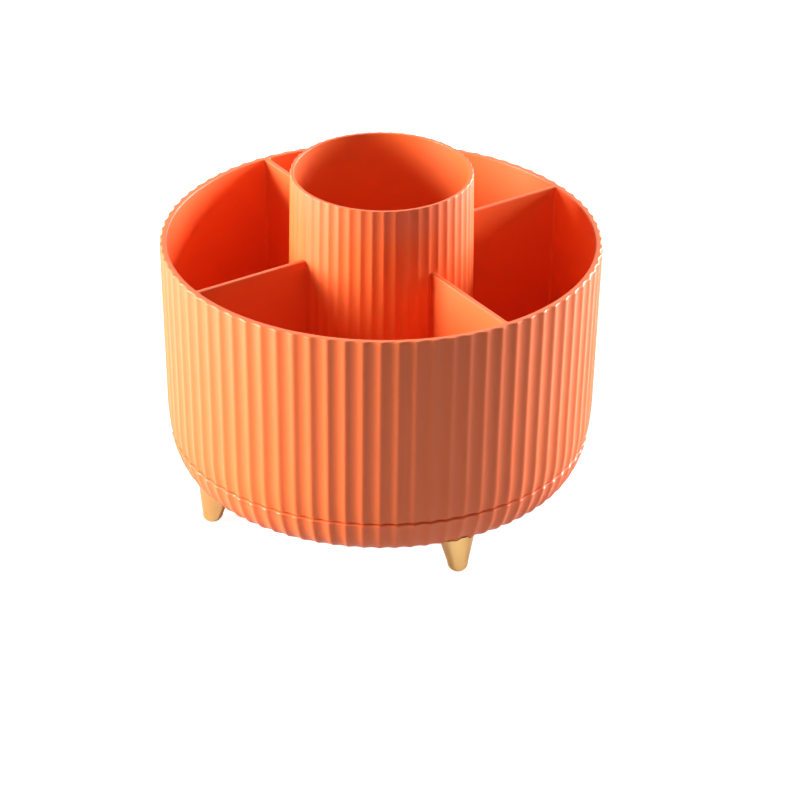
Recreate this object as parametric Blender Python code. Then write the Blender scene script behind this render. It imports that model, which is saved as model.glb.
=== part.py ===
# Rotating makeup organizer: a fluted round container with four compartments and a
# taller centre cup, turning on a ball race in a fluted base that stands on four feet.
# Metres, +Z up. The origin is on the table, under the middle of the organizer.
# The dividers lie along X and Y when the container is at rest.

import math

import bmesh
import bpy
from mathutils import Matrix, Vector

# Driving dimensions of the whole organizer
overall_height = 0.129
rim_radius = 0.0803
cup_rise = 0.0265
foot_height = 0.0135
seam_height = 0.0277
seam_gap = 0.0004

# Outer wall, shared by the container and the base
wall_draft_share = 0.025
curve_height = 0.0390
curve_reach = 0.0094
flute_count = 80
flute_facets = 3
flute_depth = 0.0008

# Container
container_wall = 0.0028
rim_fillet = 0.0007
floor_height = 0.0322
floor_thickness = 0.0020
floor_fillet = 0.0050
divider_thickness = 0.0018
divider_bury_share = 0.6
skirt_reach = 0.0054
skirt_wall = 0.0016
skirt_inset = 0.0011

# Centre cup
cup_radius = 0.0331
cup_wall = 0.0016
cup_draft_share = 0.0129
cup_bore_draft_share = 0.002
cup_flute_count = 50
cup_flute_depth = 0.0004
cup_rim_fillet = 0.0004
cup_floor_fillet = 0.0015

# Base shell
base_wall = 0.0023
base_floor = 0.0020
base_ledge = 0.0002
base_edge_fillet = 0.0006
base_floor_fillet = 0.0020
rib_count = 8
rib_thickness = 0.0016
rib_height = 0.0030
rib_bury_share = 0.25

# Ball race
ball_count = 12
ball_radius = 0.0025
race_radius = 0.0400
race_ring_width = 0.0068
race_ring_height = 0.0048
groove_depth = 0.0008
cage_width = 0.0088
cage_thickness = 0.0016
cage_pocket_sides = 8

# Pivot
boss_radius = 0.0040
guide_wall = 0.0021
guide_height = 0.0054
web_thickness = 0.0020
pocket_radius = 0.0075
pocket_depth = 0.0038
pocket_wall = 0.0020
pivot_shank_radius = 0.00175
pivot_shank_length = 0.0100
pivot_head_radius = 0.0036
pivot_head_height = 0.0018
washer_radius = 0.0062
washer_thickness = 0.0008

# Feet
foot_count = 4
foot_turn_in_flutes = -2
foot_inset = 0.0124
foot_splay_share = 0.165
foot_taper_share = 0.26
foot_sole_radius = 0.0016
foot_end_radius = 0.0039
foot_end_height = 0.0033
foot_end_turns = (90, 60, 35, 0)
foot_screw_inset = 0.0033
foot_screw_shank_radius = 0.0013
foot_screw_shank_length = 0.0100
foot_screw_head_radius = 0.0028
foot_screw_head_height = 0.0017
foot_boss_wall = 0.0025
foot_boss_height = 0.0016

# Screws: a domed pan head as (radius, height) shares, and a short point
head_dome_shares = ((0.5, 1.0), (0.85, 0.8), (1.0, 0.4))
screw_tip_share = 1 / 3

# Clearances between pieces
fit_gap = 0.0003
overrun = 0.0005

# Roundness of the turned forms, and the angle above which an edge is shaded sharp
wall_steps = 56
cup_steps = 48
ring_steps = 44
small_steps = 20
screw_steps = 12
foot_steps = 18
sharp_angle = math.radians(24)

# Heights that follow from the dimensions above
rim_height = overall_height - cup_rise
container_lower_edge = seam_height + seam_gap / 2
base_upper_edge = seam_height - seam_gap / 2
floor_underside = floor_height - floor_thickness
base_floor_height = foot_height + base_floor
flute_pitch = 2 * math.pi / flute_count
foot_turn = foot_turn_in_flutes * flute_pitch
foot_circle_radius = rim_radius - foot_inset
foot_screw_circle_radius = foot_circle_radius - foot_screw_inset

# The race, from the base up: ring, groove, ball, groove, ring
base_race_top = base_floor_height + race_ring_height
ball_height = base_race_top - groove_depth + fit_gap + ball_radius
groove_radius = ball_radius + fit_gap
container_race_bottom = 2 * ball_height - base_race_top

# The pivot, from the underside up: screw head, washer, boss end, web
web_underside = foot_height + pocket_depth
web_top = web_underside + web_thickness
boss_end = web_underside - fit_gap
washer_top = boss_end - fit_gap
pivot_head_top = washer_top - washer_thickness - fit_gap
foot_boss_top = base_floor_height + foot_boss_height


def clear_scene():
    for old in list(bpy.data.objects):
        bpy.data.objects.remove(old, do_unlink=True)


def make_material(name, colour, roughness, metallic=0.0):
    material = bpy.data.materials.new(name)
    material.use_nodes = True
    shader = material.node_tree.nodes["Principled BSDF"]
    shader.inputs["Base Color"].default_value = (*colour, 1.0)
    shader.inputs["Roughness"].default_value = roughness
    shader.inputs["Metallic"].default_value = metallic
    material.diffuse_color = (*colour, 1.0)
    return material


def make_object(name, form, material=None):
    """An object named after its piece, from a closed bmesh form."""
    bmesh.ops.recalc_face_normals(form, faces=form.faces)
    mesh = bpy.data.meshes.new(name)
    form.to_mesh(mesh)
    form.free()
    mesh.shade_smooth()
    mesh.set_sharp_from_angle(angle=sharp_angle)
    piece = bpy.data.objects.new(name, mesh)
    bpy.context.collection.objects.link(piece)
    if material:
        mesh.materials.append(material)
    return piece


def shape(target, operation, tool):
    """Cuts the tool out of the target, or joins it on, with a Boolean."""
    tool.hide_render = True
    tool.display_type = "WIRE"
    step = target.modifiers.new(tool.name, "BOOLEAN")
    step.operation = operation
    step.solver = "EXACT"
    step.object = tool


def spun(profile, steps, closed):
    """The surface that (radius, height) points sweep in one full turn."""
    form = bmesh.new()
    points = [form.verts.new((radius, 0.0, height)) for radius, height in profile]
    edges = [form.edges.new(pair) for pair in zip(points, points[1:])]
    if closed:
        edges.append(form.edges.new((points[-1], points[0])))
    bmesh.ops.spin(
        form, geom=points + edges, axis=(0, 0, 1), cent=(0, 0, 0),
        angle=2 * math.pi, steps=steps, use_merge=True,
    )
    return form


def turned(profile, steps):
    """A turned solid, closed by flat ends."""
    form = spun(profile, steps, closed=False)
    bmesh.ops.holes_fill(form, edges=[edge for edge in form.edges if edge.is_boundary], sides=0)
    return form


def turned_ring(section, steps):
    """A turned ring, from the points of its closed section."""
    return spun(section, steps, closed=True)


def disc(radius, low, high, steps):
    return turned([(radius, low), (radius, high)], steps)


def tube(inner, outer, low, high, steps):
    return turned_ring([(inner, low), (outer, low), (outer, high), (inner, high)], steps)


def extruded(outline, thickness):
    """A flat plate from its (x, z) outline, centred on the plane y = 0."""
    form = bmesh.new()
    corners = [form.verts.new((x, -thickness / 2, z)) for x, z in outline]
    face = form.faces.new(corners)
    grown = bmesh.ops.extrude_face_region(form, geom=[face])
    moved = [item for item in grown["geom"] if isinstance(item, bmesh.types.BMVert)]
    bmesh.ops.translate(form, verts=moved, vec=(0, thickness, 0))
    return form


def press_flutes(form, count, depth, crest_angle, lean=None):
    """Presses concave flutes in, square to a wall that leans: sharp crests, round valleys."""
    pitch = 2 * math.pi / count
    bmesh.ops.rotate(form, verts=form.verts, matrix=Matrix.Rotation(crest_angle, 3, "Z"))
    for vert in form.verts:
        radius = vert.co.xy.length
        turn = math.atan2(vert.co.y, vert.co.x) - crest_angle
        across = 2 * ((turn / pitch) % 1.0) - 1
        pressed = depth * (1 - across ** 2)
        angle = lean(vert.co.z) if lean else 0.0
        vert.co.xy *= 1 - pressed * math.cos(angle) / radius
        vert.co.z += pressed * math.sin(angle)
    return form


def arc(centre, radius, start, end, spans):
    """Points on a circular arc in the (radius, height) plane, angles in degrees."""
    points = []
    for step in range(spans + 1):
        angle = math.radians(start + (end - start) * step / spans)
        points.append((centre[0] + radius * math.cos(angle), centre[1] + radius * math.sin(angle)))
    return points


def around(count, start=0.0):
    return [start + 2 * math.pi * step / count for step in range(count)]


def polar(radius, angle, height):
    return Vector((radius * math.cos(angle), radius * math.sin(angle), height))


# The outer wall: a slight draft, then a quarter ellipse in to the underside
def wall_radius(height):
    straight = rim_radius - wall_draft_share * (rim_height - height)
    down = max(0.0, (curve_height - height) / (curve_height - foot_height))
    return straight - curve_reach * (1 - math.sqrt(max(0.0, 1 - down ** 2)))


def wall_profile(low, high, spans, offset=0.0):
    """Points up the curved wall, spaced by equal turns of the ellipse."""
    depth = curve_height - foot_height
    first = math.asin(min(1.0, (curve_height - low) / depth))
    last = math.asin(min(1.0, (curve_height - high) / depth))
    heights = [curve_height - depth * math.sin(first + (last - first) * k / spans) for k in range(spans + 1)]
    return [(wall_radius(height) + offset, height) for height in heights]


# Container: bowl, four dividers and cup, one moulding
def make_bowl(material):
    rim_corner = (rim_radius - rim_fillet, rim_height - rim_fillet)
    profile = wall_profile(container_lower_edge, curve_height, 2)
    profile += arc(rim_corner, rim_fillet, 0, 90, 2)
    bowl = turned(profile, flute_count * flute_facets)
    press_flutes(bowl, flute_count, flute_depth, flute_pitch / 2)
    return make_object("container", bowl, material)


def make_bowl_hollow():
    inner_radius = wall_radius(floor_height + floor_fillet) - container_wall
    corner = (inner_radius - floor_fillet, floor_height + floor_fillet)
    profile = arc(corner, floor_fillet, -90, 0, 2)
    profile.append((wall_radius(rim_height) - container_wall, rim_height))
    profile.append((wall_radius(rim_height) - container_wall, rim_height + overrun))
    return make_object("bowl_hollow", turned(profile, wall_steps))


def make_underside_hollow():
    radius = wall_radius(container_lower_edge) - container_wall
    low = container_lower_edge - overrun
    return make_object("underside_hollow", disc(radius, low, floor_underside, wall_steps))


def make_divider_plate(name, angle):
    """A full-width plate with its ends buried in the wall. The bore clears its middle."""
    buried = container_wall * divider_bury_share
    low = floor_height - floor_thickness / 2
    side = [(wall_radius(height) - buried, height) for height in (low, curve_height, rim_height)]
    outline = side + [(-x, height) for x, height in reversed(side)]
    plate = make_object(name, extruded(outline, divider_thickness))
    plate.rotation_euler.z = angle
    return plate


def make_cup():
    foot_radius = cup_radius + cup_draft_share * (overall_height - floor_height)
    corner = (cup_radius - cup_rim_fillet, overall_height - cup_rim_fillet)
    profile = [(foot_radius, floor_height - floor_thickness / 2)]
    profile += arc(corner, cup_rim_fillet, 0, 90, 1)
    cup = turned(profile, cup_flute_count * flute_facets)
    press_flutes(cup, cup_flute_count, cup_flute_depth, 0.0)
    return make_object("cup_wall", cup)


def make_cup_bore():
    mouth = cup_radius - cup_wall
    bottom = mouth - cup_bore_draft_share * (overall_height - floor_height)
    corner = (bottom - cup_floor_fillet, floor_height + cup_floor_fillet)
    profile = arc(corner, cup_floor_fillet, -90, 0, 2)
    profile += [(mouth, overall_height), (mouth, overall_height + overrun)]
    return make_object("cup_bore", turned(profile, cup_steps))


def race_section(face, back):
    """Section of a race ring with its groove, between the face and the back."""
    inner = race_radius - race_ring_width / 2
    outer = race_radius + race_ring_width / 2
    half = math.degrees(math.acos((ball_radius + fit_gap - groove_depth) / groove_radius))
    middle = -90 if face < ball_height else 90
    side = 1 if face < ball_height else -1
    groove = arc((race_radius, ball_height), groove_radius, middle + side * half, middle - side * half, 3)
    return [(inner, back), (outer, back), (outer, face)] + groove + [(inner, face)]


def make_container(material):
    container = make_bowl(material)
    shape(container, "DIFFERENCE", make_bowl_hollow())
    shape(container, "DIFFERENCE", make_underside_hollow())
    shape(container, "UNION", make_divider_plate("divider_plate_x", 0.0))
    shape(container, "UNION", make_divider_plate("divider_plate_y", math.pi / 2))
    shape(container, "UNION", make_cup())
    shape(container, "DIFFERENCE", make_cup_bore())

    buried = floor_underside + floor_thickness / 2
    race = turned_ring(race_section(container_race_bottom, buried), ring_steps)
    shape(container, "UNION", make_object("container_race", race))

    skirt_outer = wall_radius(base_upper_edge) - base_wall - skirt_inset
    skirt = tube(skirt_outer - skirt_wall, skirt_outer, floor_underside - skirt_reach, buried, wall_steps)
    shape(container, "UNION", make_object("skirt", skirt))

    pilot_top = pivot_head_top + pivot_shank_length + fit_gap
    pilot_radius = pivot_shank_radius + fit_gap
    shape(container, "UNION", make_object("boss", disc(boss_radius, boss_end, buried, small_steps)))
    pilot = disc(pilot_radius, boss_end - overrun, pilot_top, screw_steps)
    shape(container, "DIFFERENCE", make_object("boss_pilot", pilot))
    return container


# Base shell: fluted tray with race, hub, ribs and foot bosses
def base_lean(height):
    """How far the base's wall turns down. Its underside and edge stay flat: no lean there."""
    margin = base_edge_fillet / 2
    if height < foot_height + margin or height > base_upper_edge - margin:
        return 0.0
    depth = curve_height - foot_height
    down = (curve_height - height) / depth
    return math.atan(curve_reach / depth * down / math.sqrt(1 - down ** 2))


def make_base_tray(material):
    edge_radius = wall_radius(base_upper_edge) + base_ledge
    corner = (edge_radius - base_edge_fillet, base_upper_edge - base_edge_fillet)
    profile = wall_profile(foot_height, corner[1], 4, base_ledge)
    profile += arc(corner, base_edge_fillet, 45, 90, 1)
    tray = turned(profile, flute_count * flute_facets)
    press_flutes(tray, flute_count, flute_depth, flute_pitch / 2, base_lean)
    return make_object("base_shell", tray, material)


def base_inner_radius(height):
    return wall_radius(height) - base_wall


def make_base_hollow():
    middle = (base_floor_height + base_upper_edge) / 2
    corner_height = base_floor_height + base_floor_fillet
    profile = [(base_inner_radius(base_floor_height) - base_floor_fillet, base_floor_height)]
    profile += [(base_inner_radius(height), height) for height in (corner_height, middle, base_upper_edge)]
    profile.append((base_inner_radius(base_upper_edge), base_upper_edge + overrun))
    return make_object("base_hollow", turned(profile, wall_steps))


def make_rib(number, angle):
    """A low rib from the hub out to the wall, under the race."""
    low = base_floor_height - base_floor / 2
    high = base_floor_height + rib_height
    inner = pocket_radius + pocket_wall / 2
    outer = base_inner_radius(base_floor_height) - base_floor_fillet / 2
    top_outer = base_inner_radius(high) + base_wall * rib_bury_share
    outline = [(inner, low), (outer, low), (top_outer, high), (inner, high)]
    rib = make_object(f"base_rib_{number}", extruded(outline, rib_thickness))
    rib.rotation_euler.z = angle
    return rib


def make_base_shell(material):
    base = make_base_tray(material)
    shape(base, "DIFFERENCE", make_base_hollow())

    buried = base_floor_height - base_floor / 2
    for number, angle in enumerate(around(rib_count, foot_turn + math.pi / rib_count), 1):
        shape(base, "UNION", make_rib(number, angle))
    race = turned_ring(race_section(base_race_top, buried), ring_steps)
    shape(base, "UNION", make_object("base_race", race))

    hub_radius = pocket_radius + pocket_wall
    guide_radius = boss_radius + fit_gap + guide_wall
    shape(base, "UNION", make_object("hub", disc(hub_radius, buried, web_top, small_steps)))
    guide = disc(guide_radius, web_underside + web_thickness / 2, web_top + guide_height, small_steps)
    shape(base, "UNION", make_object("guide", guide))
    pocket = disc(pocket_radius, foot_height - overrun, web_underside, small_steps)
    shape(base, "DIFFERENCE", make_object("hub_pocket", pocket))
    bore = disc(boss_radius + fit_gap, foot_height, web_top + guide_height + overrun, small_steps)
    shape(base, "DIFFERENCE", make_object("guide_bore", bore))

    hole_radius = foot_screw_shank_radius + fit_gap
    boss_outer = hole_radius + foot_boss_wall
    for number, angle in enumerate(around(foot_count, foot_turn), 1):
        place = polar(foot_screw_circle_radius, angle, 0.0)
        boss = make_object(f"foot_boss_{number}", disc(boss_outer, buried, foot_boss_top, screw_steps))
        hole = disc(hole_radius, foot_height - overrun, foot_boss_top + overrun, screw_steps)
        hole = make_object(f"foot_screw_hole_{number}", hole)
        boss.location = hole.location = place
        shape(base, "UNION", boss)
        shape(base, "DIFFERENCE", hole)
    return base


# Ball cage: a flat ring with one pocket for each ball
def make_ball_cage(material):
    inner = race_radius - cage_width / 2
    outer = race_radius + cage_width / 2
    low = ball_height - cage_thickness / 2
    high = ball_height + cage_thickness / 2
    cage = make_object("ball_cage", disc(outer, low, high, ball_count * 4), material)
    bore = disc(inner, low - overrun, high + overrun, ball_count * 4)
    shape(cage, "DIFFERENCE", make_object("cage_bore", bore))
    pocket_reach = (ball_radius + fit_gap) / math.cos(math.pi / cage_pocket_sides)
    for number, angle in enumerate(around(ball_count), 1):
        pocket = disc(pocket_reach, low - overrun, high + overrun, cage_pocket_sides)
        pocket = make_object(f"ball_pocket_{number}", pocket)
        pocket.location = polar(race_radius, angle, 0.0)
        pocket.rotation_euler.z = angle
        shape(cage, "DIFFERENCE", pocket)
    return cage


def make_balls(material):
    for number, angle in enumerate(around(ball_count), 1):
        form = bmesh.new()
        bmesh.ops.create_icosphere(form, subdivisions=2, radius=ball_radius)
        ball = make_object(f"ball_{number}", form, material)
        ball.location = polar(race_radius, angle, ball_height)
        ball.rotation_euler.z = angle


# Screws: a domed pan head on a plain shank, pointing up from the head
def make_screw(name, head_radius, head_height, shank_radius, shank_length, material):
    profile = [(head_radius * across, -head_height * down) for across, down in head_dome_shares]
    profile += [(head_radius, 0.0), (shank_radius, 0.0)]
    profile += [(shank_radius, shank_length - shank_radius), (shank_radius * screw_tip_share, shank_length)]
    return make_object(name, turned(profile, screw_steps), material)


def make_pivot(steel):
    washer = tube(
        pivot_shank_radius + fit_gap, washer_radius, washer_top - washer_thickness, washer_top, small_steps
    )
    make_object("pivot_washer", washer, steel)
    screw = make_screw(
        "pivot_screw", pivot_head_radius, pivot_head_height,
        pivot_shank_radius, pivot_shank_length, steel,
    )
    screw.location.z = pivot_head_top


# Feet: tapered, splayed outwards, with a rounded end and a small flat sole
def make_foot(number, angle, gold):
    top = foot_height + base_floor
    profile = []
    for turn in foot_end_turns:
        reach = foot_sole_radius + (foot_end_radius - foot_sole_radius) * math.cos(math.radians(turn))
        rise = foot_end_height * (1 - math.sin(math.radians(turn)))
        profile.append((reach, rise))
    profile.append((foot_end_radius + foot_taper_share * (top - foot_end_height), top))
    form = turned(profile, foot_steps)
    splay = Matrix(((1, 0, -foot_splay_share), (0, 1, 0), (0, 0, 1)))
    bmesh.ops.transform(form, matrix=splay.to_4x4(), verts=form.verts)
    foot = make_object(f"foot_{number}", form, gold)
    foot.location = polar(foot_circle_radius, angle, 0.0)
    foot.rotation_euler.z = angle
    return foot


def make_base_print():
    """The base's outer form with the fit gap round it, to shape the feet's tops."""
    profile = wall_profile(foot_height, base_upper_edge, 4, base_ledge + fit_gap)
    profile = [(radius, height - fit_gap) for radius, height in profile]
    return make_object("base_print", turned(profile, flute_count * 2))


def make_feet(gold, steel):
    print_of_base = make_base_print()
    pilot_radius = foot_screw_shank_radius + fit_gap
    head_seat = foot_boss_top + fit_gap
    for number, angle in enumerate(around(foot_count, foot_turn), 1):
        foot = make_foot(number, angle, gold)
        shape(foot, "DIFFERENCE", print_of_base)
        pilot = disc(pilot_radius, head_seat - foot_screw_shank_length - fit_gap, head_seat, screw_steps)
        pilot = make_object(f"foot_pilot_{number}", pilot)
        pilot.location = polar(foot_screw_circle_radius, angle, 0.0)
        shape(foot, "DIFFERENCE", pilot)
        screw = make_screw(
            f"foot_screw_{number}", foot_screw_head_radius, foot_screw_head_height,
            foot_screw_shank_radius, foot_screw_shank_length, steel,
        )
        screw.location = polar(foot_screw_circle_radius, angle, head_seat)
        screw.rotation_euler.x = math.pi


clear_scene()
peach_plastic = make_material("peach_plastic", (0.86, 0.33, 0.16), 0.42)
gold_plating = make_material("gold_plating", (0.83, 0.58, 0.24), 0.14, 1.0)
white_plastic = make_material("white_plastic", (0.86, 0.86, 0.84), 0.5)
zinc_steel = make_material("zinc_steel", (0.62, 0.63, 0.64), 0.28, 1.0)

make_container(peach_plastic)
make_base_shell(peach_plastic)
make_ball_cage(white_plastic)
make_balls(zinc_steel)
make_pivot(zinc_steel)
make_feet(gold_plating, zinc_steel)
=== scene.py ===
# Rotating makeup organizer in satin peach plastic: a fluted container that turns on a
# fluted base with four gold feet. Metres, +Z up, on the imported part's own frame.
import math

import bmesh
import bpy
from mathutils import Matrix, Vector


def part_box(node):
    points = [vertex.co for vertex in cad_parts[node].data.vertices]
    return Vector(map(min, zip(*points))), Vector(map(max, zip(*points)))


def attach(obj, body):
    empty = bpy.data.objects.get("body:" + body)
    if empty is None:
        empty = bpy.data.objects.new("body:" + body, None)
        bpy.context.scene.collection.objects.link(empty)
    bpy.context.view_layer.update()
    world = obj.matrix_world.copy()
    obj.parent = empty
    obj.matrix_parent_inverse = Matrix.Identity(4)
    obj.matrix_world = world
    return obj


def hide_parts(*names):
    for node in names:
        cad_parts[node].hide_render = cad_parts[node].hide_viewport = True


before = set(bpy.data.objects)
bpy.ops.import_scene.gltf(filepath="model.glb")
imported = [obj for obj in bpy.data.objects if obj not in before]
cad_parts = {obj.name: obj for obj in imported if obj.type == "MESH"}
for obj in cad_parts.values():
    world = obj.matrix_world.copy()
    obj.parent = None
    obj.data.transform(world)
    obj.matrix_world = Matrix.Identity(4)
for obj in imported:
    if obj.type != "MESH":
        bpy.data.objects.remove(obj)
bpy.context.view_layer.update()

# Camera: a long lens 1.3 m away, looking down on the rim by about 30 degrees, with one of
# the four compartments towards it. The image is 800 pixels square.
image_size = 800
focal_pixels = 3567.1
sensor_width = 36.0
nearest_seen = 0.1
cup_rise = 0.0265
cup_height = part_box("container")[1].z
rim_height = cup_height - cup_rise
camera_distance = 1.1518
camera_rise = 0.5849
view_turn = math.radians(-34.0)
camera_yaw = 0.00646
camera_pitch = 0.51548
camera_roll = 0.01183

camera = bpy.data.objects.new("camera", bpy.data.cameras.new("camera"))
bpy.context.scene.collection.objects.link(camera)
camera.data.sensor_width = sensor_width
camera.data.lens = sensor_width * focal_pixels / image_size
camera.data.clip_start = nearest_seen
camera.matrix_world = (
    Matrix.Rotation(view_turn - camera_yaw, 4, "Z")
    @ Matrix.Rotation(math.pi / 2 - camera_pitch, 4, "X")
    @ Matrix.Rotation(camera_roll, 4, "Z")
)
camera.location = (
    camera_distance * math.sin(view_turn),
    -camera_distance * math.cos(view_turn),
    rim_height + camera_rise,
)
bpy.context.scene.camera = camera

# Studio: a white sweep under and behind the organizer, a large, low soft lamp at each side
# and a weak one high behind. Each lamp has its turn to the right of the camera and its rise
# in degrees, its distance and its size in metres, and its power in watts.
bpy.context.scene.view_settings.view_transform = "Standard"
lamps = {
    "left_softbox": (-84.0, 13.0, 1.1, (0.5, 0.55), 31.0),
    "right_softbox": (121.0, 10.5, 1.1, (0.8, 0.5), 33.5),
    "back_softbox": (180.0, 58.0, 1.1, (0.5, 0.5), 4.0),
}
lamp_aim = Vector((0, 0, rim_height / 2))
for name, (turn, rise, distance, (width, height), power) in lamps.items():
    lamp = bpy.data.lights.new(name, "AREA")
    lamp.shape = "RECTANGLE"
    lamp.size = width
    lamp.size_y = height
    lamp.energy = power
    holder = bpy.data.objects.new(name, lamp)
    bpy.context.scene.collection.objects.link(holder)
    azimuth = view_turn - math.pi / 2 + math.radians(turn)
    rise = math.radians(rise)
    level = math.cos(rise)
    direction = Vector((level * math.cos(azimuth), level * math.sin(azimuth), math.sin(rise)))
    holder.location = lamp_aim + distance * direction
    holder.rotation_mode = "QUATERNION"
    holder.rotation_quaternion = direction.to_track_quat("Z", "Y")


class Shade:
    """An output of a shader node. Arithmetic on it adds Math nodes, and node() any other."""

    def __init__(self, tree, socket=None):
        self.tree = tree
        self.socket = socket

    def node(self, kind, settings, inputs, output=0):
        made = self.tree.nodes.new("ShaderNode" + kind)
        for name, value in settings.items():
            setattr(made, name, value)
        for name, value in inputs.items():
            if isinstance(value, Shade):
                self.tree.links.new(value.socket, made.inputs[name])
            else:
                made.inputs[name].default_value = value
        return Shade(self.tree, made.outputs[output] if made.outputs else None)

    def beside(self, output):
        """Another output of the same node."""
        return Shade(self.tree, self.socket.node.outputs[output])

    def math(self, operation, first, second=0.0):
        return self.node("Math", {"operation": operation}, {0: first, 1: second})

    def mix(self, first, second):
        """Goes from the first colour to the second as this value goes from 0 to 1."""
        colours = {0: self, 6: (*first, 1), 7: (*second, 1)}
        return self.node("Mix", {"data_type": "RGBA"}, colours, 2)

    def into(self, shader, name):
        """Links this output to a socket of the shader."""
        self.tree.links.new(self.socket, shader.inputs[name])

    def __add__(self, other):
        return self.math("ADD", self, other)

    def __mul__(self, other):
        return self.math("MULTIPLY", self, other)

    __radd__ = __add__
    __rmul__ = __mul__


def rays(tree, *kinds):
    """1 for rays of the named kinds, and 0 for all others."""
    first = Shade(tree).node("LightPath", {}, {}, f"Is {kinds[0]} Ray")
    total = first
    for kind in kinds[1:]:
        total = total + first.beside(f"Is {kind} Ray")
    return first.math("MINIMUM", total, 1.0)


# The world is white to the camera and in mirrors, and lights the organizer far more weakly.
room_light = 0.165
world = bpy.data.worlds.new("studio")
bpy.context.scene.world = world
world.use_nodes = True
world.node_tree.nodes.clear()
seen = rays(world.node_tree, "Camera", "Glossy", "Transmission")
white = {"Color": (1, 1, 1, 1), "Strength": room_light + (1 - room_light) * seen}
seen.node("OutputWorld", {}, {"Surface": seen.node("Background", {}, white)})

# The floor is white to the camera and clear from underneath. Mirrors see it paler than it
# shines on the organizer.
floor_radius = 3.0
floor_steps = 96
floor_drop = 0.00005
floor_albedo = 0.4
floor_glow = 0.9
mirrored_albedo = 0.85
mirrored_glow = 0.05
form = bmesh.new()
bmesh.ops.create_circle(form, cap_ends=True, segments=floor_steps, radius=floor_radius)
bmesh.ops.translate(form, verts=form.verts, vec=(0, 0, -floor_drop))
floor_mesh = bpy.data.meshes.new("floor")
form.to_mesh(floor_mesh)
form.free()
floor = bpy.data.objects.new("floor", floor_mesh)
bpy.context.scene.collection.objects.link(floor)

white_sweep = bpy.data.materials.new("white_sweep")
white_sweep.use_nodes = True
white_sweep.node_tree.nodes.clear()
seen = rays(white_sweep.node_tree, "Camera", "Transmission")
mirrored = rays(white_sweep.node_tree, "Glossy")
albedo = floor_albedo + (mirrored_albedo - floor_albedo) * mirrored
card = seen.node("BsdfDiffuse", {}, {"Color": albedo})
strength = floor_glow * seen + mirrored_glow * mirrored
glow = seen.node("Emission", {}, {"Color": (1, 1, 1, 1), "Strength": strength})
lit = seen.node("AddShader", {}, {0: card, 1: glow})
from_below = seen.node("NewGeometry", {}, {}, "Backfacing")
clear = seen.node("BsdfTransparent", {}, {})
surface = seen.node("MixShader", {}, {0: from_below, 1: lit, 2: clear})
seen.node("OutputMaterial", {}, {"Surface": surface})
floor_mesh.materials.append(white_sweep)

# Container: one injection moulding in satin peach plastic. A round bowl, fluted outside,
# four thin dividers and a taller fluted cup in the middle. Below its floor hang the upper
# race of the turntable, a skirt that hides the seam, and the boss for the centre screw.
rim_radius = 0.08038
wall_draft_share = 0.025
curve_height = 0.0390
curve_depth = 0.0255
curve_reach = 0.0094
flute_count = 80
flute_facets = 12
first_crest = math.pi / flute_count
flute_depth = 0.0008
flute_crest_share = 0.26
flute_crest_blunting = 0.22
container_edge = 0.0280
wall_thickness = 0.0028
rim_fillet = 0.0007
mouth_fillet = 0.00045
floor_height = 0.0322
floor_thickness = 0.0020
bowl_floor_fillet = 0.0050
corner_fillet = 0.0010
divider_thickness = 0.0018
cup_radius = 0.0331
cup_wall = 0.0016
cup_draft_share = 0.0129
cup_bore_draft_share = 0.002
cup_flute_count = 50
cup_flute_depth = 0.0004
cup_rim_fillet = 0.0004
cup_floor_fillet = 0.0015
skirt_outer_radius = 0.0740
skirt_wall = 0.0016
skirt_bottom = 0.0248
race_radius = 0.0400
race_ring_width = 0.0068
groove_radius = 0.0028
ball_height = 0.0223
container_race_face = 0.0243
boss_radius = 0.0040
boss_end = 0.0170
pilot_radius = 0.00205
pilot_top = 0.0259
round_steps = 200
sharp_degrees = 32.0
peach_shades = (0.935, 0.157, 0.027), (0.955, 0.167, 0.030)


def wall_radius(height):
    """The outer wall: a slight draft, then a quarter ellipse in to the underside."""
    straight = rim_radius - wall_draft_share * (rim_height - height)
    down = min(1.0, max(0.0, (curve_height - height) / curve_depth))
    return straight - curve_reach * (1 - math.sqrt(1 - down ** 2))


def arc(centre, radius, start, end, spans):
    """Points on an arc, with its angles in degrees."""
    x, y = centre
    turns = [math.radians(start + (end - start) * k / spans) for k in range(spans + 1)]
    return [(x + radius * math.cos(turn), y + radius * math.sin(turn)) for turn in turns]


def curved_wall(low, high, spans, offset=0.0):
    """Profile points up the outer wall, spaced by equal turns of its ellipse."""
    first = math.asin(min(1.0, (curve_height - low) / curve_depth))
    last = math.asin(max(0.0, (curve_height - high) / curve_depth))
    turns = [first + (last - first) * k / spans for k in range(spans + 1)]
    heights = [curve_height - curve_depth * math.sin(turn) for turn in turns]
    return [(wall_radius(height) + offset, height) for height in heights]


def turned(profile, steps, ring=False):
    """A closed turned form from a profile; a ring's profile is joined end to end."""
    form = bmesh.new()
    points = [form.verts.new((radius, 0.0, height)) for radius, height in profile]
    edges = [form.edges.new(pair) for pair in zip(points, points[1:])]
    if ring:
        edges.append(form.edges.new((points[-1], points[0])))
    bmesh.ops.spin(
        form, geom=points + edges, axis=(0, 0, 1), cent=(0, 0, 0),
        angle=2 * math.pi, steps=steps, use_merge=True,
    )
    bmesh.ops.holes_fill(form, edges=[edge for edge in form.edges if edge.is_boundary], sides=0)
    bmesh.ops.recalc_face_normals(form, faces=form.faces)
    return form


def disc(radius, low, high, steps):
    """A closed cylinder about the centre axis."""
    return turned([(radius, low), (radius, high)], steps)


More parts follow.
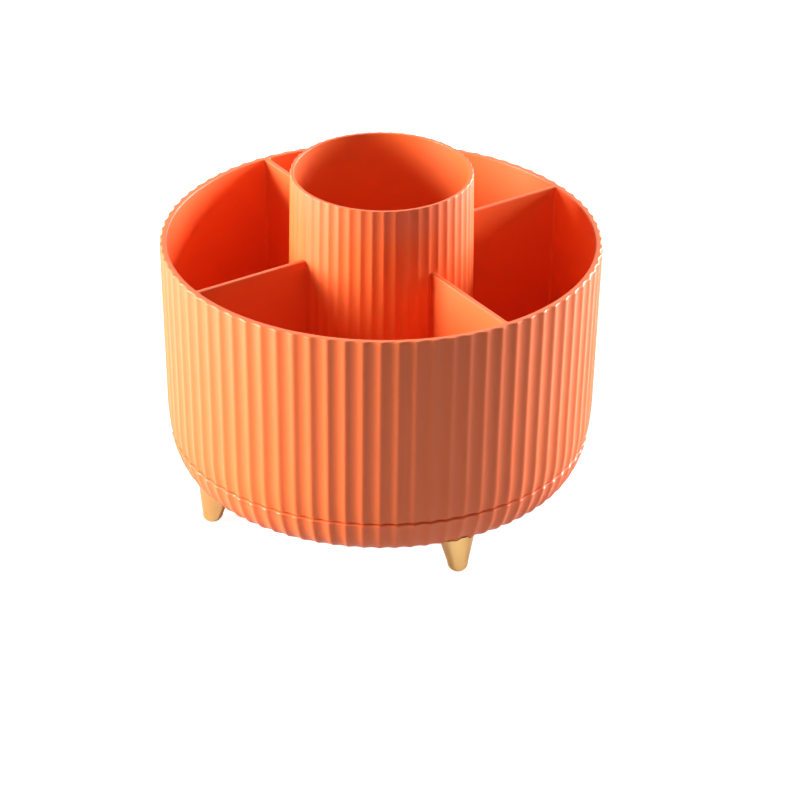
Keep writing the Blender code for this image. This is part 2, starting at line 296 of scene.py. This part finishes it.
def press_flutes(form, count, depth, crest_turn, lean=None):
    """Presses concave flutes with slightly blunt crests, square to a wall that leans.

    across runs from 0 in the middle of a flute to 1 on a crest.
    """
    bmesh.ops.rotate(form, verts=form.verts, matrix=Matrix.Rotation(crest_turn, 3, "Z"))
    for vert in form.verts:
        radius = vert.co.xy.length
        turn = math.atan2(vert.co.y, vert.co.x) - crest_turn
        across = abs(2 * ((turn * count / (2 * math.pi)) % 1.0) - 1)
        blunt = max(0.0, across - (1 - flute_crest_share)) / flute_crest_share
        pressed = depth * (1 - across ** 2 + flute_crest_blunting * blunt ** 2)
        angle = lean(vert.co.z) if lean else 0.0
        vert.co.xy *= 1 - pressed * math.cos(angle) / radius
        vert.co.z += pressed * math.sin(angle)
    return form


def as_object(name, form):
    """Puts a form into the scene as an object at the origin."""
    mesh = bpy.data.meshes.new(name)
    form.to_mesh(mesh)
    form.free()
    made = bpy.data.objects.new(name, mesh)
    bpy.context.scene.collection.objects.link(made)
    return made


def combine(target, steps):
    """Cuts and joins closed forms in turn, and keeps the result as the target's mesh."""
    tools = []
    for operation, form in steps:
        tool = as_object(f"tool_{len(tools)}", form)
        tools.append(tool)
        modifier = target.modifiers.new(tool.name, "BOOLEAN")
        modifier.operation = operation
        modifier.solver = "MANIFOLD"
        modifier.object = tool
    bpy.context.view_layer.update()
    shaped = target.evaluated_get(bpy.context.evaluated_depsgraph_get())
    mesh = bpy.data.meshes.new_from_object(shaped)
    target.modifiers.clear()
    target.data = mesh
    for tool in tools:
        bpy.data.objects.remove(tool)


def finish_piece(made, material, body, nodes):
    """Shades a piece, gives it its material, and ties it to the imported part."""
    made.data.shade_smooth()
    made.data.set_sharp_from_angle(angle=math.radians(sharp_degrees))
    made.data.materials.clear()
    made.data.materials.append(material)
    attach(made, body)
    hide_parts(*nodes)


def round_in(fillet, depth):
    """How far a fillet of this radius stands in at a depth below its upper end."""
    depth = min(fillet, max(0.0, depth))
    return fillet - math.sqrt(fillet ** 2 - depth ** 2)


outer_spans = 48
inner_spans = 24
corner_spans = 5
mouth_turns = (0, 18, 36, 54, 72, 90)
bowl_floor_turns = (0, 12, 24, 36, 46)
corner_turns = (0, 20, 40, 60, 76, 90)


def compartment_outline(height):
    """One compartment's outline: wall, cup and two dividers, with round corners."""
    flare = round_in(mouth_fillet, height - (rim_height - mouth_fillet))
    straight_from = floor_height + bowl_floor_fillet
    share = max(0.0, height - straight_from) / (rim_height - straight_from)
    low_radius = wall_radius(straight_from) - wall_thickness
    outer = low_radius + share * (rim_radius - wall_thickness - low_radius) + flare
    outer -= round_in(bowl_floor_fillet, straight_from - height)
    side = divider_thickness / 2 + round_in(corner_fillet, floor_height + corner_fillet - height)
    side -= flare
    inner = cup_radius + cup_draft_share * (cup_height - height) - 2 * cup_flute_depth
    outer_x = math.sqrt((outer - corner_fillet) ** 2 - (side + corner_fillet) ** 2)
    inner_x = math.sqrt((inner + corner_fillet) ** 2 - (side + corner_fillet) ** 2)
    near = side + corner_fillet
    outer_turn = math.degrees(math.atan2(near, outer_x))
    inner_turn = math.degrees(math.atan2(near, inner_x))
    points = arc((0, 0), outer, outer_turn, 90 - outer_turn, outer_spans)
    points += arc((near, outer_x), corner_fillet, 90 - outer_turn, 180, corner_spans)[1:]
    points += arc((near, inner_x), corner_fillet, 180, 270 - inner_turn, corner_spans)
    points += arc((0, 0), inner, 90 - inner_turn, inner_turn, inner_spans)[1:]
    points += arc((inner_x, near), corner_fillet, 180 + inner_turn, 270, corner_spans)[1:]
    points += arc((outer_x, near), corner_fillet, 270, 360 + outer_turn, corner_spans)[:-1]
    return points


def compartments():
    """Four compartments' spaces, each stretched down level by level from its mouth.

    The levels follow the fillets at the mouth, at the bowl's floor and in its corners.
    """
    levels = [rim_height + mouth_fillet]
    for turn in map(math.radians, mouth_turns):
        levels.append(rim_height - mouth_fillet * (1 - math.cos(turn)))
    for turn in map(math.radians, bowl_floor_turns):
        levels.append(floor_height + bowl_floor_fillet * (1 - math.sin(turn)))
    for turn in map(math.radians, corner_turns):
        levels.append(floor_height + corner_fillet * (1 - math.sin(turn)))
    form = bmesh.new()
    spot = form.verts.layers.int.new("spot")
    lid = [form.verts.new((x, y, levels[0])) for x, y in compartment_outline(levels[0])]
    face = form.faces.new(lid)
    for number, vert in enumerate(face.verts):
        vert[spot] = number
    for level in levels[1:]:
        grown = bmesh.ops.extrude_face_region(form, geom=[face])["geom"]
        if level < levels[1]:  # the first face stays as the lid
            bmesh.ops.delete(form, geom=[face], context="FACES_ONLY")
        face = next(item for item in grown if isinstance(item, bmesh.types.BMFace))
        outline = compartment_outline(level)
        for vert in face.verts:
            vert.co = (*outline[vert[spot]], level)
    whole = form.verts[:] + form.edges[:] + form.faces[:]
    bmesh.ops.spin(
        form, geom=whole, axis=(0, 0, 1), cent=(0, 0, 0),
        angle=1.5 * math.pi, steps=3, use_duplicate=True,
    )
    bmesh.ops.recalc_face_normals(form, faces=form.faces)
    return form


def cup_outside():
    """The cup's fluted outside, with a fillet round its foot and a rounded rim."""
    foot = cup_radius + cup_draft_share * (cup_height - floor_height)
    profile = [(foot + corner_fillet, floor_height - floor_thickness / 2)]
    foot_centre = (foot + corner_fillet, floor_height + corner_fillet)
    profile += arc(foot_centre, corner_fillet, 270, 180, spans=4)
    rim_centre = (cup_radius - cup_rim_fillet, cup_height - cup_rim_fillet)
    profile += arc(rim_centre, cup_rim_fillet, 0, 90, spans=5)
    outside = turned(profile, cup_flute_count * flute_facets)
    return press_flutes(outside, cup_flute_count, cup_flute_depth, 0.0)


def cup_inside():
    """The space in the cup, round at its floor and flared at its mouth."""
    mouth = cup_radius - cup_wall
    bottom = mouth - cup_bore_draft_share * (cup_height - floor_height)
    floor_centre = (bottom - cup_floor_fillet, floor_height + cup_floor_fillet)
    profile = arc(floor_centre, cup_floor_fillet, -90, 0, spans=6)
    rim_centre = (mouth + cup_rim_fillet, cup_height - cup_rim_fillet)
    profile += arc(rim_centre, cup_rim_fillet, 180, 90, spans=5)
    profile.append((mouth + cup_rim_fillet, cup_height + cup_rim_fillet))
    return turned(profile, round_steps)


def race_ring(face, back):
    """A race ring between its grooved face and its back, for balls at ball_height."""
    inner = race_radius - race_ring_width / 2
    outer = race_radius + race_ring_width / 2
    half = math.degrees(math.acos(abs(face - ball_height) / groove_radius))
    middle, side = (-90, 1) if face < ball_height else (90, -1)
    start, end = middle + side * half, middle - side * half
    groove = arc((race_radius, ball_height), groove_radius, start, end, spans=10)
    section = [(inner, back), (outer, back), (outer, face)] + groove + [(inner, face)]
    return turned(section, steps=160, ring=True)


profile = curved_wall(container_edge, curve_height, spans=12)
profile += arc((rim_radius - rim_fillet, rim_height - rim_fillet), rim_fillet, 0, 90, spans=6)
bowl = turned(profile, flute_count * flute_facets)
press_flutes(bowl, flute_count, flute_depth, first_crest)
container = as_object("fluted_container", bowl)
under_floor = floor_height - floor_thickness
in_floor = floor_height - floor_thickness / 2
under_radius = wall_radius(container_edge) - wall_thickness
skirt = [(skirt_outer_radius - skirt_wall, skirt_bottom), (skirt_outer_radius, skirt_bottom)]
skirt += [(radius, in_floor) for radius, bottom in reversed(skirt)]
combine(container, [
    ("DIFFERENCE", compartments()),
    ("DIFFERENCE", disc(under_radius, container_edge - wall_thickness, under_floor, round_steps)),
    ("UNION", cup_outside()),
    ("DIFFERENCE", cup_inside()),
    ("UNION", race_ring(container_race_face, in_floor)),
    ("UNION", turned(skirt, round_steps, ring=True)),
    ("UNION", disc(boss_radius, boss_end, in_floor, steps=64)),
    ("DIFFERENCE", disc(pilot_radius, boss_end - pilot_radius, pilot_top, steps=48)),
])


def new_material(name):
    """A material, its shader, and the piece's own coordinates for a pattern."""
    material = bpy.data.materials.new(name)
    material.use_nodes = True
    shader = material.node_tree.nodes["Principled BSDF"]
    place = Shade(material.node_tree).node("TexCoord", {}, {}, "Object")
    return material, shader, place


peach, shader, place = new_material("peach_plastic")
flow = place.node("TexNoise", {}, {"Vector": place, "Scale": 22.0, "Detail": 3.0})
grain = place.node("TexNoise", {}, {"Vector": place, "Scale": 2600.0, "Detail": 2.0})
bump = grain.node("Bump", {}, {"Height": grain, "Strength": 0.15, "Distance": 0.00002})
flow.mix(*peach_shades).into(shader, "Base Color")
(0.42 + 0.05 * flow + 0.08 * grain).into(shader, "Roughness")
shader.inputs["Coat Weight"].default_value = 0.2
shader.inputs["Coat Roughness"].default_value = 0.1
bump.into(shader, "Normal")
finish_piece(container, peach, "turning_container", ["container"])

# Base shell: a shallow fluted tray in the same plastic, moulded with the lower race, a hub
# that guides the container's boss, eight low ribs and a boss over each foot.
base_bottom = 0.0135
base_top = 0.0275
base_ledge = 0.0004
base_edge_fillet = 0.0010
base_edge_start = 15
base_wall = 0.0023
base_wall_spans = 14
base_floor_height = 0.0155
in_base_floor = (base_bottom + base_floor_height) / 2
base_floor_fillet = 0.0020
base_race_face = 0.0203
foot_turn = math.radians(-9.0)
rib_count = 8
rib_thickness = 0.0016
rib_top = 0.0185
hub_radius = 0.0095
hub_top = 0.0193
hub_pocket_radius = 0.0075
hub_pocket_top = 0.0173
guide_bore_radius = 0.0043
guide_radius = 0.0064
guide_top = 0.0247
foot_count = 4
foot_circle_radius = 0.0679
foot_screw_circle_radius = 0.0646
foot_screw_hole_radius = 0.0016
foot_boss_radius = 0.0041
foot_boss_top = 0.0171


def placed(form, radius, angle, height=0.0):
    """Moves a form out along its own X to a radius, and turns it to an angle."""
    bmesh.ops.translate(form, verts=form.verts, vec=(radius, 0, height))
    bmesh.ops.rotate(form, verts=form.verts, matrix=Matrix.Rotation(angle, 3, "Z"))
    return form


def rib(angle):
    """A low rib from the hub out to the wall."""
    inner = (hub_radius + hub_pocket_radius) / 2
    outer = wall_radius(base_floor_height) - base_wall - base_floor_fillet / 2
    top_outer = wall_radius(rib_top) - base_wall / 2
    low = in_base_floor
    corners = ((inner, low), (outer, low), (top_outer, rib_top), (inner, rib_top))
    form = bmesh.new()
    face = form.faces.new([form.verts.new((x, -rib_thickness / 2, z)) for x, z in corners])
    grown = bmesh.ops.extrude_face_region(form, geom=[face])["geom"]
    moved = [item for item in grown if isinstance(item, bmesh.types.BMVert)]
    bmesh.ops.translate(form, verts=moved, vec=(0, rib_thickness, 0))
    bmesh.ops.recalc_face_normals(form, faces=form.faces)
    return placed(form, 0.0, angle)


def around(count, start):
    """Angles evenly round the centre."""
    return [start + 2 * math.pi * k / count for k in range(count)]


def base_lean(height):
    """How far the base's wall turns down. Its underside and edge stay flat: no lean there."""
    margin = base_edge_fillet / 2
    if height < base_bottom + margin or height > base_top - margin:
        return 0.0
    down = (curve_height - height) / curve_depth
    return math.atan(curve_reach / curve_depth * down / math.sqrt(1 - down ** 2))


edge_radius = wall_radius(base_top) + base_ledge - base_edge_fillet
edge_height = base_top - base_edge_fillet
profile = curved_wall(base_bottom, edge_height, base_wall_spans, base_ledge)
profile += arc((edge_radius, edge_height), base_edge_fillet, base_edge_start, 90, spans=6)
tray = turned(profile, flute_count * flute_facets)
press_flutes(tray, flute_count, flute_depth, first_crest, base_lean)
base = as_object("fluted_base", tray)

corner_radius = wall_radius(base_floor_height) - base_wall - base_floor_fillet
corner_height = base_floor_height + base_floor_fillet
hollow = arc((corner_radius, corner_height), base_floor_fillet, -90, -20, spans=5)
hollow += curved_wall(corner_height, base_top, spans=8, offset=-base_wall)
hollow.append((wall_radius(base_top) - base_wall, base_top + base_wall))
steps = [("DIFFERENCE", turned(hollow, round_steps))]
steps += [("UNION", rib(angle)) for angle in around(rib_count, foot_turn + math.pi / rib_count)]
steps += [
    ("UNION", race_ring(base_race_face, in_base_floor)),
    ("UNION", disc(hub_radius, in_base_floor, hub_top, steps=96)),
    ("UNION", disc(guide_radius, hub_pocket_top, guide_top, steps=96)),
    ("DIFFERENCE", disc(hub_pocket_radius, base_bottom - base_wall, hub_pocket_top, steps=96)),
    ("DIFFERENCE", disc(guide_bore_radius, base_bottom, guide_top + base_wall, steps=64)),
]
for angle in around(foot_count, foot_turn):
    boss = disc(foot_boss_radius, in_base_floor, foot_boss_top, steps=48)
    hole = disc(foot_screw_hole_radius, base_bottom - base_wall, foot_boss_top + base_wall, steps=32)
    steps.append(("UNION", placed(boss, foot_screw_circle_radius, angle)))
    steps.append(("DIFFERENCE", placed(hole, foot_screw_circle_radius, angle)))
combine(base, steps)
finish_piece(base, peach, "base", ["base_shell"])

# Feet: four short tapered cones, moulded in plastic and plated bright gold. They splay
# outwards, stand on small rounded ends, and their tops are shaped to the base's flutes.
foot_splay_share = 0.165
foot_taper_share = 0.26
foot_sole_radius = 0.0016
foot_end_radius = 0.0039
foot_end_height = 0.0033
foot_end_turns = (90, 78, 66, 54, 42, 30, 18, 0)
foot_print_gap = 0.0002
foot_screw_seat = 0.0174
foot_pilot_depth = 0.0103
gold_shades = (0.72, 0.47, 0.18), (0.78, 0.52, 0.21)


def foot_form():
    """One upright cone with a rounded end, sheared outwards along X."""
    width = foot_end_radius - foot_sole_radius
    profile = []
    for turn in map(math.radians, foot_end_turns):
        across = foot_sole_radius + width * math.cos(turn)
        profile.append((across, foot_end_height * (1 - math.sin(turn))))
    top_radius = foot_end_radius + foot_taper_share * (base_floor_height - foot_end_height)
    profile.append((top_radius, base_floor_height))
    form = turned(profile, steps=96)
    splay = Matrix(((1, 0, -foot_splay_share, 0), (0, 1, 0, 0), (0, 0, 1, 0), (0, 0, 0, 1)))
    bmesh.ops.transform(form, matrix=splay, verts=form.verts)
    return form


def base_print():
    """The base's outside with a hair of room, to shape the tops of the feet."""
    profile = curved_wall(base_bottom, base_top, base_wall_spans, base_ledge + foot_print_gap)
    profile = [(radius, height - foot_print_gap) for radius, height in profile]
    form = turned(profile, flute_count * flute_facets)
    return press_flutes(form, flute_count, flute_depth, first_crest, base_lean)


gold, shader, place = new_material("gold_plating")
haze = place.node("TexNoise", {}, {"Vector": place, "Scale": 260.0, "Detail": 3.0})
haze.mix(*gold_shades).into(shader, "Base Color")
(0.04 + 0.04 * haze).into(shader, "Roughness")
shader.inputs["Metallic"].default_value = 1.0

for number, angle in enumerate(around(foot_count, foot_turn), 1):
    foot = as_object(f"gold_foot_{number}", placed(foot_form(), foot_circle_radius, angle))
    pilot_end = foot_screw_seat - foot_pilot_depth
    pilot = disc(foot_screw_hole_radius, pilot_end, foot_screw_seat, steps=32)
    combine(foot, [
        ("DIFFERENCE", base_print()),
        ("DIFFERENCE", placed(pilot, foot_screw_circle_radius, angle)),
    ])
    finish_piece(foot, gold, "base", [f"foot_{number}"])

# Turntable: twelve steel balls run between the container's race and the base's. A flat cage,
# moulded in white plastic, keeps them apart.
ball_count = 12
ball_radius = 0.0025
ball_pocket_radius = 0.0028
cage_inner_radius = 0.0356
cage_outer_radius = 0.0444
cage_thickness = 0.0016
cage_edge = 0.0002
cage_bottom = ball_height - cage_thickness / 2
cage_top = ball_height + cage_thickness / 2
cage_shades = (0.70, 0.70, 0.67), (0.76, 0.76, 0.73)
steel_shades = (0.56, 0.57, 0.58), (0.66, 0.67, 0.68)

cage_plastic, shader, place = new_material("white_plastic")
flow = place.node("TexNoise", {}, {"Vector": place, "Scale": 90.0, "Detail": 3.0})
flow.mix(*cage_shades).into(shader, "Base Color")
(0.40 + 0.15 * flow).into(shader, "Roughness")

steel, shader, place = new_material("zinc_steel")
wear = place.node("TexNoise", {}, {"Vector": place, "Scale": 700.0, "Detail": 4.0})
wear.mix(*steel_shades).into(shader, "Base Color")
(0.16 + 0.14 * wear).into(shader, "Roughness")
shader.inputs["Metallic"].default_value = 1.0

section = [
    (cage_inner_radius, cage_bottom + cage_edge), (cage_inner_radius + cage_edge, cage_bottom),
    (cage_outer_radius - cage_edge, cage_bottom), (cage_outer_radius, cage_bottom + cage_edge),
    (cage_outer_radius, cage_top - cage_edge), (cage_outer_radius - cage_edge, cage_top),
    (cage_inner_radius + cage_edge, cage_top), (cage_inner_radius, cage_top - cage_edge),
]
cage = as_object("race_cage", turned(section, steps=192, ring=True))
steps = []
for angle in around(ball_count, 0.0):
    pocket = disc(ball_pocket_radius, cage_bottom - cage_edge, cage_top + cage_edge, steps=48)
    steps.append(("DIFFERENCE", placed(pocket, race_radius, angle)))
combine(cage, steps)
finish_piece(cage, cage_plastic, "cage", ["ball_cage"])

for number, angle in enumerate(around(ball_count, 0.0), 1):
    form = bmesh.new()
    bmesh.ops.create_uvsphere(form, u_segments=40, v_segments=24, radius=ball_radius)
    ball = as_object(f"steel_ball_{number}", placed(form, race_radius, angle, ball_height))
    finish_piece(ball, steel, f"rolling_ball_{number}", [f"ball_{number}"])

# Screws: a cross-recessed pan-head screw and a washer hold the container's boss from
# below, and four smaller ones hold the feet from inside the base.
washer_bore_radius = 0.00205
washer_radius = 0.0062
washer_bottom = 0.0159
washer_top = 0.0167
washer_edge = 0.00015
pivot_screw_seat = 0.0156
recess_turn = 0.4
recess_share = 0.55
recess_width_share = 0.20
recess_depth_share = 0.62
recess_flare = 2.0
recess_end_length = 1.1
recess_end_width = 1.4
recess_overcut = 1.1

# The pan head's outline, in shares of the head's radius and height.
pan_outline = (
    (0.25, 1.0), (0.55, 0.96), (0.78, 0.84), (0.92, 0.64), (0.98, 0.42), (1.0, 0.2), (1.0, 0.0),
)

# Each screw's head radius and height, and its shank's radius and length.
pivot_screw_sizes = (0.0036, 0.0018, 0.00175, 0.0100)
foot_screw_sizes = (0.0028, 0.0017, 0.0013, 0.0100)


def screw_form(head_radius, head_height, shank_radius, shank_length):
    """A pan-head screw that points up from its head, before its recess is cut."""
    profile = [(head_radius * across, -head_height * down) for across, down in pan_outline]
    profile += [(shank_radius, 0.0), (shank_radius, shank_length - shank_radius)]
    profile.append((shank_radius / 3, shank_length))
    return turned(profile, steps=64)


def recess_form(head_radius, head_height, turn):
    """One arm of the cross recess, cut past the head's face and narrower at its end."""
    form = bmesh.new()
    bmesh.ops.create_cube(form, size=1.0)
    for vert in form.verts:
        at_face = vert.co.z < 0
        vert.co.x *= head_radius * recess_share * (recess_flare if at_face else recess_end_length)
        vert.co.y *= head_radius * recess_width_share * (recess_flare if at_face else recess_end_width)
        vert.co.z = head_height * (-recess_overcut if at_face else recess_depth_share - 1.0)
    return placed(form, 0.0, turn)


def screw(name, node, body, sizes, place_radius, angle, seat, flipped):
    """A screw whose head bears at the seat's height. A flipped one points down."""
    made = as_object(name, screw_form(*sizes))
    arms = [recess_form(*sizes[:2], turn) for turn in (recess_turn, recess_turn + math.pi / 2)]
    combine(made, [("DIFFERENCE", arm) for arm in arms])
    if flipped:
        made.data.transform(Matrix.Rotation(math.pi, 4, "X"))
    made.data.transform(Matrix.Rotation(angle, 4, "Z") @ Matrix.Translation((place_radius, 0, seat)))
    finish_piece(made, steel, body, [node])


section = [
    (washer_bore_radius, washer_bottom), (washer_radius - washer_edge, washer_bottom),
    (washer_radius, washer_bottom + washer_edge), (washer_radius, washer_top - washer_edge),
    (washer_radius - washer_edge, washer_top), (washer_bore_radius, washer_top),
]
washer = as_object("thrust_washer", turned(section, steps=96, ring=True))
finish_piece(washer, steel, "turning_container", ["pivot_washer"])

screw("centre_screw", "pivot_screw", "turning_container", pivot_screw_sizes,
      place_radius=0.0, angle=0.0, seat=pivot_screw_seat, flipped=False)
for number, angle in enumerate(around(foot_count, foot_turn), 1):
    screw(f"foot_fixing_screw_{number}", f"foot_screw_{number}", "base", foot_screw_sizes,
          foot_screw_circle_radius, angle, seat=foot_screw_seat, flipped=True)
